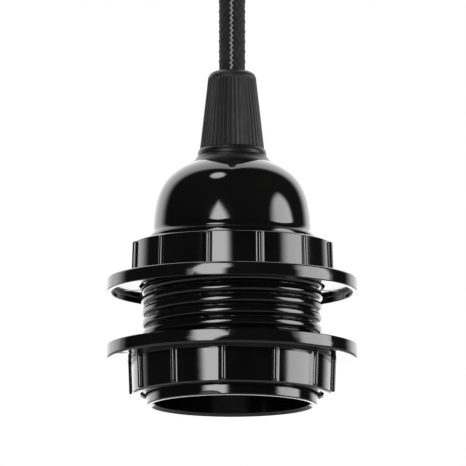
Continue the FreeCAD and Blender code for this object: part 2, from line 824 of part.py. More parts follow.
def make_terminal(name, angle, over_stem):
    """A brass block on a strip: a core goes in from above and a screw from the side holds it."""
    body = new_body(name)
    thick = S["strip_thickness"]
    top = thick + S["block_height"]
    start = BLOCK_START
    end = start + S["block_length"]
    if over_stem:
        pad(body, circle(body, "eye", "XY_Plane", S["strip_width"] / 2), thick)
    strip = box_outline(body, "strip", NOTHING if over_stem else start, STRIP_END, NOTHING, thick)
    pad(body, strip, S["strip_width"], both_sides=True)
    pad(body, box_outline(body, "block", start, end, NOTHING, top), S["block_width"], both_sides=True)
    rivet_hole = S["rivet_radius"] + S["rivet_clearance"]
    pocket(body, circle(body, "rivet_hole", "XY_Plane", rivet_hole, across=RIVET_PLACE, lift=thick), thick)
    wire_hole = circle(body, "wire_hole", "XY_Plane", S["wire_hole_radius"], across=BLOCK_MIDDLE, lift=top)
    pocket(body, wire_hole, S["wire_hole_depth"])
    level = top - S["wire_hole_depth"] / 2
    screw_hole = circle(body, "screw_hole", "XZ_Plane", S["screw_radius"], across=BLOCK_MIDDLE, up=level)
    pocket(body, screw_hole, S["block_width"], reverse=True)
    if over_stem:
        stem_hole = S["plunger_stem_radius"] + S["plunger_clearance"]
        pocket(body, circle(body, "stem_hole", "XY_Plane", stem_hole, lift=thick), thick)
    place(body, CARRIER_TOP, angle=angle)


# ---- fasteners --------------------------------------------------------------------------------


def set_sizes(solid, **sizes):
    for prop, size in sizes.items():
        bind(solid, prop, size)
    return solid


def new_group(name, members):
    """Identical fasteners kept together as one node of separate solids."""
    group = doc.addObject("Part::Compound", name)
    group.Links = members
    group.Label = name
    NODES.append(group)
    return group


def make_screw(name, length):
    """A slotted screw whose head stands on its local level nothing and whose shank points down."""
    head_radius = S["screw_head_radius"]
    head_height = S["screw_head_height"]
    shank = doc.addObject("Part::Cylinder", name + "_shank")
    set_sizes(shank, Radius=S["screw_radius"] - S["screw_clearance"], Height=length)
    bind(shank, "Placement.Base.z", NOTHING - length)
    head = doc.addObject("Part::Cone", name + "_head")
    set_sizes(head, Radius1=head_radius, Radius2=head_radius - S["screw_head_taper"], Height=head_height)
    slot = doc.addObject("Part::Box", name + "_slot")
    set_sizes(slot, Length=head_radius * 2, Width=S["screw_slot_width"], Height=S["screw_slot_depth"])
    bind(slot, "Placement.Base.x", NOTHING - head_radius)
    bind(slot, "Placement.Base.y", NOTHING - S["screw_slot_width"] / 2)
    bind(slot, "Placement.Base.z", head_height - S["screw_slot_depth"])
    slotted = doc.addObject("Part::Cut", name + "_slotted_head")
    slotted.Base = head
    slotted.Tool = slot
    screw = doc.addObject("Part::Fuse", name)
    screw.Base = slotted
    screw.Tool = shank
    return screw


def make_terminal_screws():
    """One screw in each terminal block, driven from the side and down on the bare end of its core."""
    length = S["block_width"] / 2 - S["conductor_radius"]
    level = BLOCK_TOP - S["wire_hole_depth"] / 2
    members = []
    face = S["block_width"] / 2
    sides = ((BLOCK_MIDDLE, NOTHING - face, 90.0), (NOTHING - BLOCK_MIDDLE, face, -90.0))
    for number, (across, back, angle) in enumerate(sides, start=1):
        screw = make_screw("terminal_screw_%d" % number, length)
        place(screw, level, across=across, back=back, axis=(1, 0, 0), angle=angle)
        members.append(screw)
    new_group("terminal_screws", members)


def make_rivet(name, across, bottom, top):
    """A shank with a flat head at each end, between the two outer levels given."""
    length = top - bottom
    head = S["rivet_head_height"]
    pieces = []
    for piece, radius, low, height in (
        ("shank", S["rivet_radius"], head / 2, length - head),
        ("lower_head", S["rivet_head_radius"], NOTHING, head),
        ("upper_head", S["rivet_head_radius"], length - head, head),
    ):
        solid = doc.addObject("Part::Cylinder", name + "_" + piece)
        set_sizes(solid, Radius=radius, Height=height)
        bind(solid, "Placement.Base.z", low)
        pieces.append(solid)
    rivet = doc.addObject("Part::MultiFuse", name)
    rivet.Shapes = pieces
    place(rivet, bottom, across=across)
    return rivet


def make_contact_rivets():
    """The live rivet has its lower head in the carrier's recess, the neutral one under the shell."""
    head = S["rivet_head_height"]
    top = STRIP_TOP + head
    live_bottom = CARRIER_SEAT + S["rivet_recess_depth"] - head
    neutral_bottom = SHELL_FLANGE_BOTTOM - head
    new_group("contact_rivets", [
        make_rivet("live_rivet", RIVET_PLACE, live_bottom, top),
        make_rivet("neutral_rivet", NOTHING - RIVET_PLACE, neutral_bottom, top),
    ])


# ---- ceiling rose -----------------------------------------------------------------------------


def make_ceiling_plate():
    """The plate screwed to the ceiling, with a rim that the cup's two screws go into."""
    body = new_body("ceiling_plate")
    outside = S["rose_radius"] - S["rose_wall"] - S["plate_clearance"]
    inside = outside - S["rose_wall"]
    rim = S["plate_rim_height"]
    top = rim + S["plate_thickness"]
    revolve(body, [
        (inside, NOTHING),
        (outside, NOTHING),
        (outside, top),
        (NOTHING, top),
        (NOTHING, rim),
        (inside, rim),
    ])
    hole = circle(body, "fixing_hole", "XY_Plane", S["plate_hole_radius"],
                  across=S["plate_hole_pitch"] / 2, lift=top)
    around(body, [pocket(body, hole, S["plate_thickness"])], as_size(2))
    cable = S["plate_cable_radius"]
    cable_hole = circle(body, "cable_hole", "XY_Plane", cable, up=S["plate_cable_place"], lift=top)
    pocket(body, cable_hole, S["plate_thickness"])
    cut_screw_holes(body, rim - S["rose_screw_level"], outside)
    place(body, CEILING - top)


def cut_screw_holes(body, level, reach):
    """The two opposite holes for the rose's side screws, along the body's Y axis."""
    hole = circle(body, "screw_hole", "XZ_Plane", S["screw_radius"], up=level)
    pocket(body, hole, reach * 2, both_sides=True)


def make_rose_cup():
    """The turned cup that covers the rose, with a hole in its floor for the cord."""
    body = new_body("rose_cup")
    outside = S["rose_radius"]
    wall = S["rose_wall"]
    edge = S["rose_edge_round"]
    top = S["rose_height"]
    revolve(body, [
        (CORD_HOLE, NOTHING),
        (outside - edge, NOTHING),
        (outside, edge, edge, "left"),
        (outside, top),
        (outside - wall, top),
        (outside - wall, edge),
        (outside - edge, wall, edge - wall, "right"),
        (CORD_HOLE, wall),
    ])
    level = top - S["plate_thickness"] - S["rose_screw_level"]
    cut_screw_holes(body, level, outside)
    place(body, ROSE_BOTTOM)


def make_rose_screws():
    """The two screws through the cup into the plate's rim."""
    length = S["rose_wall"] * 2 + S["plate_clearance"]
    level = PLATE_BOTTOM - S["rose_screw_level"]
    members = []
    for number, (back, angle) in enumerate(
        ((NOTHING - S["rose_radius"], 90.0), (S["rose_radius"], -90.0)), start=1
    ):
        screw = make_screw("rose_screw_%d" % number, length)
        place(screw, level, back=back, axis=(1, 0, 0), angle=angle)
        members.append(screw)
    new_group("rose_screws", members)


def make_rose_terminal_block():
    """Two ways side by side under the ceiling plate, one for each core of the cord."""
    body = new_body("rose_terminal_block")
    height = S["rose_block_height"]
    half = S["rose_block_length"] / 2
    width = S["rose_block_width"]
    pad(body, box_outline(body, "half", NOTHING, half, NOTHING, height), width, both_sides=True)
    wire_hole = circle(body, "wire_hole", "XY_Plane", S["wire_hole_radius"], across=BLOCK_MIDDLE)
    pocket(body, wire_hole, S["wire_hole_depth"], reverse=True)
    level = S["wire_hole_depth"] / 2
    screw_hole = circle(body, "screw_hole", "XZ_Plane", S["screw_radius"], across=BLOCK_MIDDLE, up=level)
    pocket(body, screw_hole, width, reverse=True)
    mirror = body.newObject("PartDesign::Mirrored", "rose_block_mirrored")
    mirror.Originals = [step for step in body.Group if step.isDerivedFrom("PartDesign::FeatureAddSub")]
    mirror.MirrorPlane = (origin_part(body, "YZ_Plane"), [""])
    body.Tip = mirror
    place(body, ROSE_BLOCK_BOTTOM)


def make_rose_terminal_screws():
    """One screw in each way of the rose's terminal block."""
    length = S["rose_block_width"] / 2 - S["conductor_radius"]
    level = ROSE_BLOCK_BOTTOM + S["wire_hole_depth"] / 2
    members = []
    face = NOTHING - S["rose_block_width"] / 2
    for number, side in enumerate((BLOCK_MIDDLE, NOTHING - BLOCK_MIDDLE), start=1):
        screw = make_screw("rose_terminal_screw_%d" % number, length)
        place(screw, level, across=side, back=face, axis=(1, 0, 0), angle=90.0)
        members.append(screw)
    new_group("rose_terminal_screws", members)


def make_rose_cord_grip():
    """The collar on the cup's floor that holds the cord's weight, with a hole for its screw."""
    body = new_body("rose_cord_grip")
    height = S["rose_grip_height"]
    revolve(body, [
        (S["cord_radius"], NOTHING),
        (S["rose_grip_radius"], NOTHING),
        (S["rose_grip_radius"], height),
        (S["cord_radius"], height),
    ])
    hole = circle(body, "screw_hole", "XZ_Plane", S["screw_radius"], up=height / 2)
    pocket(body, hole, S["rose_grip_radius"], reverse=True)
    place(body, ROSE_BOTTOM + S["rose_wall"])


def make_rose_grip_screw():
    """The screw that presses on the cord in the collar."""
    length = S["rose_grip_radius"] - S["cord_radius"]
    screw = make_screw("rose_grip_screw", length)
    level = ROSE_BOTTOM + S["rose_wall"] + S["rose_grip_height"] / 2
    place(screw, level, back=NOTHING - S["rose_grip_radius"], axis=(1, 0, 0), angle=90.0)
    screw.Label = "rose_grip_screw"
    NODES.append(screw)


# ---- the whole ---------------------------------------------------------------------------------


def make_all():
    make_threaded_skirt()
    lower_lip = S["lower_ring_level"] + S["ring_height"]
    make_shade_ring("lower_ring", lower_lip, 180.0, LOWER_RING_AXIS)
    make_shade_ring("upper_ring", lower_lip + S["shade_gap"], S["upper_ring_turn"].value, (0, 0, 1))
    make_dome_cap()
    make_gland_body()
    make_grip_cap()
    make_cord()
    make_screw_shell()
    make_contact_carrier()
    make_centre_plunger()
    make_plunger_clip()
    make_plunger_spring()
    make_terminal("live_terminal", 0.0, over_stem=True)
    make_terminal("neutral_terminal", 180.0, over_stem=False)
    make_terminal_screws()
    make_contact_rivets()
    make_core("live_core", CORD_BOTTOM, (1, 0, 0), 180.0)
    make_core("neutral_core", CORD_BOTTOM, (0, 1, 0), 180.0)
    make_ceiling_plate()
    make_rose_cup()
    make_rose_screws()
    make_rose_terminal_block()
    make_rose_terminal_screws()
    make_rose_cord_grip()
    make_rose_grip_screw()
    make_core("rose_live_core", CORD_TOP, (0, 0, 1), 0.0)
    make_core("rose_neutral_core", CORD_TOP, (0, 0, 1), 180.0)


def check_all():
    doc.recompute()
    for thing in doc.Objects:
        if "Invalid" in thing.State or "Error" in thing.State:
            raise RuntimeError("%s failed: %s" % (thing.Name, thing.State))
    for node in NODES:
        if node.Shape.isNull() or not node.Shape.isValid():
            raise RuntimeError("%s has no valid shape" % node.Label)


def write_all():
    os.makedirs("parts", exist_ok=True)
    for node in NODES:
        node.Shape.exportStep(os.path.join("parts", node.Label + ".step"))


make_all()
check_all()
write_all()
section = math.pi * S["cord_radius"].value ** 2
cord = next(node for node in NODES if node.Label == "cord")
length = (CORD_TOP - CORD_BOTTOM).value
print("cord: straight, %.1f mm long, volume over section times length %.5f" % (
    length, cord.Shape.Volume / (section * length)))
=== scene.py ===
import json
import math

import bpy
import bmesh
import numpy as np
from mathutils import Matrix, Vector


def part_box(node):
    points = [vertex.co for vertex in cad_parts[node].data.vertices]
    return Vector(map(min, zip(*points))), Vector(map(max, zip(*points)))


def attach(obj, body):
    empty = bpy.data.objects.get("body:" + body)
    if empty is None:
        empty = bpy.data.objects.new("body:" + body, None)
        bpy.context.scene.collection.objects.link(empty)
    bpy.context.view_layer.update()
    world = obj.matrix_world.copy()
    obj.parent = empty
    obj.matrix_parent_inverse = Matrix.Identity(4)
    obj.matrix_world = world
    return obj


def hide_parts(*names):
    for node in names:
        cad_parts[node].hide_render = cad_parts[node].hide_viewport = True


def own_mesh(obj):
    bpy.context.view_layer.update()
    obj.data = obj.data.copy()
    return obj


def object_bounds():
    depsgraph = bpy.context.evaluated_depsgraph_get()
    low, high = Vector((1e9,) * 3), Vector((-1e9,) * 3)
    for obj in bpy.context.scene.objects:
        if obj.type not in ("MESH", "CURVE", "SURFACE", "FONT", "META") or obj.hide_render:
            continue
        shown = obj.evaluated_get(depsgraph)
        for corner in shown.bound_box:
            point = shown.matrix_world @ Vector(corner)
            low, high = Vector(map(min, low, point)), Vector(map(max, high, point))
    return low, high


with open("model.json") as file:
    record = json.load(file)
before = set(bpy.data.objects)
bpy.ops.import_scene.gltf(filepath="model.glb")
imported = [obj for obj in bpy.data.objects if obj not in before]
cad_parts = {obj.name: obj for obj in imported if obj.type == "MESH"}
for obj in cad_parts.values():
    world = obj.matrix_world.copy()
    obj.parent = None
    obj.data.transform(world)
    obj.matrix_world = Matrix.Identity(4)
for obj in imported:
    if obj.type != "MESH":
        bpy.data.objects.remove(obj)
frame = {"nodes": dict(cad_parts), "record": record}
CAD_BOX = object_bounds()
MM = 0.001
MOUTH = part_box("threaded_skirt")[0].z
CORD_LOW, CORD_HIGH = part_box("cord")

# Unless a line says otherwise, lengths below are millimetres and angles are degrees, from the front
# of the holder round to its right.


def level(height):
    """World Z of a height in millimetres above the mouth of the skirt."""
    return MOUTH + height * MM


# ---- view -------------------------------------------------------------------------------------

scene = bpy.context.scene
scene.view_settings.view_transform = "Standard"


CAMERA_BELOW = 8.5
CAMERA_DISTANCE = 3.0  # metres
AIM_LEVEL = 37.9
AIM_RIGHT = 0.2


def add_camera():
    """A long lens, as in the photograph, that looks up from a little below the holder."""
    data = bpy.data.cameras.new("camera")
    data.sensor_width = 36.0
    data.lens = 1067.0
    data.clip_start = 0.01
    data.clip_end = 20.0
    camera = bpy.data.objects.new("camera", data)
    scene.collection.objects.link(camera)
    target = Vector((AIM_RIGHT * MM, 0.0, level(AIM_LEVEL)))
    tilt = math.radians(CAMERA_BELOW)
    away = Vector((0.0, -math.cos(tilt), -math.sin(tilt)))
    camera.location = target + away * CAMERA_DISTANCE
    camera.rotation_mode = "QUATERNION"
    camera.rotation_quaternion = (-away).to_track_quat("-Z", "Y")
    scene.camera = camera


add_camera()


# ---- mesh helpers -----------------------------------------------------------------------------


def add_mesh(name, points, faces):
    """A smooth-shaded object, its faces turned outwards."""
    mesh = bpy.data.meshes.new(name)
    mesh.from_pydata(points, [], faces)
    work = bmesh.new()
    work.from_mesh(mesh)
    bmesh.ops.recalc_face_normals(work, faces=work.faces)
    work.to_mesh(mesh)
    work.free()
    mesh.shade_smooth()
    piece = bpy.data.objects.new(name, mesh)
    scene.collection.objects.link(piece)
    return piece


def fillet(corners, steps=5):
    """A closed section through (radius, height, rounding) corners, as (radius, height) points."""
    points = []
    for number, (across, up, size) in enumerate(corners):
        corner = Vector((across, up))
        if not size:
            points.append((across, up))
            continue
        before = (Vector(corners[number - 1][:2]) - corner).normalized()
        after = (Vector(corners[(number + 1) % len(corners)][:2]) - corner).normalized()
        half = before.angle(after) / 2
        centre = corner + (before + after).normalized() * (size / math.sin(half))
        start = corner + before * (size / math.tan(half)) - centre
        end = corner + after * (size / math.tan(half)) - centre
        first = math.atan2(start.y, start.x)
        sweep = (math.atan2(end.y, end.x) - first + math.pi) % math.tau - math.pi
        for step in range(steps + 1):
            angle = first + sweep * step / steps
            points.append((centre.x + size * math.cos(angle), centre.y + size * math.sin(angle)))
    return points


def even_angles(count):
    return [360.0 * number / count for number in range(count)]


def turned(name, section, angles, shape=None, base=0.0, upright=1.0):
    """A closed section of (radius, height) points carried round Z, from that base level.

    Its heights run up, or down where upright is -1. shape(angle, radius, height) gives the radius
    where the surface isn't round.
    """
    turns = np.radians(np.array(angles))[:, None]
    radius, height = (np.array(row)[None, :] + turns * 0 for row in zip(*section))
    if shape:
        radius = shape(np.degrees(turns) + radius * 0, radius, height)
    points = np.stack([
        radius * np.sin(turns) * MM,
        -radius * np.cos(turns) * MM,
        level(base) + upright * height * MM,
    ], axis=-1).reshape(-1, 3)
    rows = len(section)
    columns = len(angles)
    faces = []
    for column in range(columns):
        here, there = column * rows, (column + 1) % columns * rows
        for row in range(rows):
            after = (row + 1) % rows
            faces.append((here + row, here + after, there + after, there + row))
    return add_mesh(name, points.tolist(), faces)


def weigh_normals(piece):
    """Large faces keep their own shading, and the small ones between them take the turn."""
    modifier = piece.modifiers.new("even_shading", "WEIGHTED_NORMAL")
    modifier.weight = 60
    return piece


def step(value, low, high):
    """Smooth 0 to 1 between low and high."""
    share = np.clip((value - low) / (high - low), 0.0, 1.0)
    return share * share * (3.0 - 2.0 * share)


def spread(low, high, count):
    """Both ends and the even steps between them, count steps in all."""
    return [low + (high - low) * number / count for number in range(count + 1)]


# ---- materials --------------------------------------------------------------------------------


class Nodes:
    """Short calls that add nodes to a tree. Their inputs may be numbers or other nodes' outputs."""

    def __init__(self, tree):
        self.tree = tree

    def node(self, kind, inputs=(), **options):
        node = self.tree.nodes.new(kind)
        for key, value in options.items():
            setattr(node, key, value)
        for key, value in dict(inputs).items():
            if isinstance(value, bpy.types.NodeSocket):
                self.tree.links.new(value, node.inputs[key])
            else:
                node.inputs[key].default_value = value
        return node

    def maths(self, operation, *values):
        return self.node("ShaderNodeMath", enumerate(values), operation=operation).outputs[0]

    def ranged(self, value, low, high, at=(0.3, 0.7), kind="LINEAR"):
        """Runs from low to high as value runs between the two of at."""
        ends = {"From Min": at[0], "From Max": at[1], "To Min": low, "To Max": high}
        inputs = {"Value": value, **ends}
        return self.node("ShaderNodeMapRange", inputs, interpolation_type=kind).outputs["Result"]

    def split(self, vector):
        return self.node("ShaderNodeSeparateXYZ", {0: vector}).outputs


class Finish(Nodes):
    """A procedural material in the object's own coordinates, which are metres."""

    def __init__(self, name):
        self.material = bpy.data.materials.new(name)
        self.material.use_nodes = True
        super().__init__(self.material.node_tree)
        self.shader = self.tree.nodes["Principled BSDF"]
        self.coords = self.tree.nodes.new("ShaderNodeTexCoord").outputs["Object"]

    def set(self, **values):
        """Constants on the shader's own sockets."""
        for key, value in values.items():
            self.shader.inputs[key.replace("_", " ")].default_value = value

    def link(self, key, value):
        self.tree.links.new(value, self.shader.inputs[key])

    def stretched(self, x, y, z):
        return self.node(
            "ShaderNodeVectorMath", {0: self.coords, 1: (x, y, z)}, operation="MULTIPLY"
        ).outputs[0]

    def noise(self, scale, detail=2.0, coords=None, roughness=0.5):
        look = {"Scale": scale, "Detail": detail, "Roughness": roughness}
        inputs = {"Vector": coords or self.coords, **look}
        return self.node("ShaderNodeTexNoise", inputs).outputs["Fac"]

    def blend(self, share, first, second):
        """One colour turning into another. The mix's inputs 0, 6 and 7 are its share and colours."""
        inputs = {0: share, 6: first, 7: second}
        return self.node("ShaderNodeMix", inputs, data_type="RGBA").outputs[2]

    def bump(self, height, depth, strength=1.0):
        """Relief of that many millimetres."""
        inputs = {"Height": height, "Distance": depth * MM, "Strength": strength}
        self.link("Normal", self.node("ShaderNodeBump", inputs).outputs["Normal"])


def grey(value, warm=0.0):
    return (value * (1 + warm), value, value * (1 - warm), 1.0)


SATIN_FROM = 52.75
SATIN_FADE = 0.15


def black_phenolic():
    """Glossy, with a satin neck and flange above the dome's shoulder."""
    finish = Finish("black_phenolic")
    finish.set(IOR=1.6)
    height = finish.split(finish.coords)[2]
    satin = finish.ranged(height, 0.0, 1.0, at=(level(SATIN_FROM), level(SATIN_FROM + SATIN_FADE)))
    mottle = finish.ranged(finish.noise(90.0, 4.0), 0.0, 1.0)
    glossy = finish.blend(mottle, grey(0.002, 0.02), grey(0.0042, 0.04))
    finish.link("Base Color", finish.blend(satin, glossy, grey(0.006)))
    haze = finish.ranged(finish.noise(350.0, 5.0, roughness=0.65), 0.05, 0.1)
    finish.link("Roughness", finish.maths("MULTIPLY_ADD", satin, 0.32, haze))
    finish.link("Specular IOR Level", finish.maths("MULTIPLY_ADD", satin, -0.27, 0.5))
    finish.bump(finish.noise(420.0, 2.0), 0.004)
    return finish.material


def broken_phenolic():
    """The grainy break that the moulding's gate leaves."""
    finish = Finish("broken_phenolic")
    finish.set(IOR=1.55, Roughness=0.6)
    grain = finish.noise(4000.0, 3.0)
    finish.link("Base Color", finish.blend(finish.ranged(grain, 0.0, 1.0), grey(0.03), grey(0.07)))
    finish.bump(grain, 0.05)
    return finish.material


def grip_plastic():
    finish = Finish("grip_plastic")
    finish.set(IOR=1.48)
    grain = finish.noise(2600.0, 3.0)
    light = finish.ranged(grain, 0.0, 1.0)
    finish.link("Base Color", finish.blend(light, grey(0.0055), grey(0.009)))
    finish.link("Roughness", finish.ranged(finish.noise(500.0, 3.0), 0.42, 0.56))
    finish.bump(grain, 0.012)
    return finish.material


def rose_plastic():
    finish = Finish("rose_plastic")
    finish.set(IOR=1.5)
    mottle = finish.ranged(finish.noise(120.0, 4.0), 0.0, 1.0)
    finish.link("Base Color", finish.blend(mottle, grey(0.006), grey(0.01)))
    finish.link("Roughness", finish.ranged(finish.noise(400.0, 4.0), 0.26, 0.36))
    finish.bump(finish.noise(3000.0, 2.0), 0.006)
    return finish.material


def porcelain():
    finish = Finish("porcelain")
    finish.set(IOR=1.52, Coat_Weight=0.6, Coat_Roughness=0.08, Roughness=0.28)
    speck = finish.ranged(finish.noise(1500.0, 2.0), 0.0, 1.0, at=(0.68, 0.74))
    cloud = finish.ranged(finish.noise(160.0, 3.0), 0.0, 1.0)
    glaze = finish.blend(cloud, (0.76, 0.74, 0.69, 1.0), (0.7, 0.67, 0.6, 1.0))
    finish.link("Base Color", finish.blend(speck, glaze, (0.42, 0.36, 0.28, 1.0)))
    finish.bump(finish.noise(500.0, 3.0), 0.02)
    return finish.material


def metal(name, colour, dull, roughness, scale, brushed=(1.0, 1.0, 1.0), patina=0.5):
    """Bare or plated metal: marks that brushed can stretch one way, and a soft dull patina."""
    finish = Finish(name)
    finish.set(Metallic=1.0)
    marks = finish.noise(scale, 4.0, finish.stretched(*brushed), 0.7)
    cloud = finish.ranged(finish.noise(300.0, 4.0), 0.0, patina)
    finish.link("Base Color", finish.blend(cloud, colour, dull))
    finish.link("Roughness", finish.ranged(marks, roughness - 0.08, roughness + 0.12))
    finish.bump(marks, 0.008)
    return finish.material


def insulation(name, light, dark):
    finish = Finish(name)
    finish.set(IOR=1.5)
    cloud = finish.ranged(finish.noise(900.0, 4.0), 0.0, 1.0)
    finish.link("Base Color", finish.blend(cloud, light, dark))
    finish.link("Roughness", finish.ranged(finish.noise(1500.0, 3.0), 0.34, 0.5))
    finish.bump(finish.noise(2500.0, 3.0), 0.01)
    return finish.material


BRAID_CARRIERS = 12
BRAID_STITCH = 2.2
TRACER_ANGLE = -3.0
TRACER_SWING = 0.08  # radians each side, once in half a stitch


def cord_braid():
    """Black cotton yarns with a pale tracer thread that zigzags up the front of the cord."""
    finish = Finish("cord_braid")
    finish.set(Roughness=0.85, Sheen_Weight=0.25, Sheen_Roughness=0.5, Specular_IOR_Level=0.2)
    right, back, up = finish.split(finish.coords)
    turn = finish.maths("ARCTAN2", right, finish.maths("MULTIPLY", back, -1.0))
    yarn = finish.noise(900.0, 3.0, finish.stretched(1.0, 1.0, 0.7), 0.7)
    fibre = finish.noise(5200.0, 2.0)
    shade = finish.ranged(yarn, 0.0, 1.0, at=(0.35, 0.66))
    cotton = finish.blend(shade, grey(0.003), grey(0.012))
    lint = finish.ranged(fibre, 0.0, 0.6, at=(0.5, 0.8))
    cotton = finish.blend(lint, cotton, grey(0.03))
    quarter = BRAID_STITCH / 4 * MM
    zigzag = finish.maths("PINGPONG", up, quarter)
    zigzag = finish.maths("MULTIPLY", zigzag, TRACER_SWING * 2 / quarter)
    zigzag = finish.maths("SUBTRACT", zigzag, TRACER_SWING)
    away = finish.maths("SUBTRACT", turn, math.radians(TRACER_ANGLE))
    away = finish.maths("ABSOLUTE", finish.maths("SUBTRACT", away, zigzag))
    thread = finish.ranged(away, 1.0, 0.0, at=(0.05, 0.09))
    worn = finish.ranged(fibre, 0.55, 1.0, at=(0.4, 0.6))
    tracer = finish.maths("MULTIPLY", thread, worn)
    finish.link("Base Color", finish.blend(tracer, cotton, grey(0.32)))
    finish.bump(fibre, 0.06, 0.7)
    return finish.material


FINISHES = {
    "black_phenolic": black_phenolic(),
    "grip_plastic": grip_plastic(),
    "rose_plastic": rose_plastic(),
    "porcelain": porcelain(),
    "plated_steel": metal("plated_steel", (0.6, 0.61, 0.62, 1), (0.42, 0.42, 0.4, 1), 0.3, 900.0),
    "nickel_plate": metal(
        "nickel_plate", (0.68, 0.64, 0.58, 1), (0.5, 0.46, 0.4, 1), 0.2, 700.0, (0.3, 0.3, 4.0)
    ),
    "brass": metal(
        "brass", (0.82, 0.6, 0.27, 1), (0.5, 0.33, 0.15, 1), 0.26, 1100.0, (1, 4, 1), 0.7
    ),
    "cord_braid": cord_braid(),
    "brown_insulation": insulation(
        "brown_insulation", (0.13, 0.05, 0.025, 1), (0.085, 0.03, 0.016, 1)
    ),
    "blue_insulation": insulation(
        "blue_insulation", (0.02, 0.12, 0.42, 1), (0.014, 0.085, 0.32, 1)
    ),
}


def dress(piece, slot, body, *nodes):
    """Give a piece its finish, the body it moves with and the CAD nodes it stands for."""
    piece.data.materials.append(FINISHES[slot])
    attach(piece, body)
    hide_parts(*nodes)
    return piece


# ---- cord -------------------------------------------------------------------------------------

CORD_RADIUS = 2.825
YARN_DEPTH = 0.3
CORD_FITTINGS = [
    "ceiling_plate", "rose_cup", "rose_screws", "rose_terminal_block", "rose_terminal_screws",
    "rose_cord_grip", "rose_grip_screw", "rose_live_core", "rose_neutral_core",
]


def add_cord():
    """The braided sheath: two sets of yarns that pass over and under each other round the cord."""
    low, high = CORD_LOW.z, CORD_HIGH.z
    rows = int((high - low) / (BRAID_STITCH / 10 * MM))
    columns = BRAID_CARRIERS * 8
    heights = np.linspace(0.0, (high - low) / MM, rows + 1)[:, None]
    turns = (np.arange(columns) / columns * math.tau)[None, :]
    along = heights / BRAID_STITCH
    left = turns * BRAID_CARRIERS / math.tau + along
    right = turns * BRAID_CARRIERS / math.tau - along
    over = np.cos(math.pi * (left + right)) * np.cos(math.pi * (left - right))
    left_yarn = np.abs(np.cos(math.pi * left)) ** 0.7 * (0.6 + 0.4 * over)
    right_yarn = np.abs(np.cos(math.pi * right)) ** 0.7 * (0.6 - 0.4 * over)
    relief = np.maximum(left_yarn, right_yarn)
    radius = (CORD_RADIUS - 0.2 + YARN_DEPTH * relief) * MM
    up = low + heights * MM + turns * 0
    points = np.stack([radius * np.sin(turns), -radius * np.cos(turns), up], axis=-1)
    faces = []
    for row in range(rows):
        for column in range(columns):
            after = (column + 1) % columns
            here, above = row * columns, (row + 1) * columns
            faces.append((here + column, here + after, above + after, above + column))
    faces.append(tuple(reversed(range(columns))))
    faces.append(tuple(rows * columns + column for column in range(columns)))
    braid = add_mesh("cord_braid", points.reshape(-1, 3).tolist(), faces)
    piece = dress(braid, "cord_braid", "holder", "cord")


add_cord()


# ---- threaded skirt ---------------------------------------------------------------------------

THREAD_PITCH = 2.5
THREAD_ROOT = 18.3
THREAD_CREST = 19.7
CREST_POWER = 2.6  # 2 is an ellipse, and more is flatter on top
THREAD_START = 2.65
THREAD_TOP = 35.0
SKIRT_END = 18.7
SKIRT_TOP = 37.0
GATE_ANGLE = -15.0
GATE_HALF = 2.6
GATE_HEIGHT = 0.85
GATE_DEPTH = 0.35
GATE_SPAN = 9.0


def from_gate(angle):
    return (angle - GATE_ANGLE + 180.0) % 360.0 - 180.0


def gate_dip(angle, height):
    """1 inside the half-round gate mark on the rim, 0 outside."""
    across = from_gate(angle) * math.radians(SKIRT_END)
    return 1.0 - step(np.hypot(across / GATE_HALF, height / GATE_HEIGHT), 0.9, 1.0)


def thread_radius(angle, radius, height):
    """Wide round crests with narrow roots between them, run out at both ends of the thread."""
    outside = radius > THREAD_ROOT - 0.05
    turn = (angle - GATE_ANGLE - 90.0) / 360.0
    phase = (height - THREAD_START) / THREAD_PITCH - turn
    from_crest = np.abs(2.0 * ((phase - 0.5) % 1.0) - 1.0)
    rise = np.sqrt(np.clip(1.0 - (1.0 - from_crest) ** CREST_POWER, 0.0, 1.0))
    crest = THREAD_ROOT + (THREAD_CREST - THREAD_ROOT) * rise
    start = step(height, THREAD_START, THREAD_START + 0.55)
    finish = 1.0 - step(height, THREAD_TOP - 0.6, THREAD_TOP)
    threaded = radius + (crest - radius) * start * finish
    rough = 0.05 * np.sin(angle * 7.0 + height * 9.0)
    marked = radius - (GATE_DEPTH + rough) * gate_dip(angle, height) * (height > 0.02)
    return np.where(outside, np.where(height > THREAD_START, threaded, marked), radius)


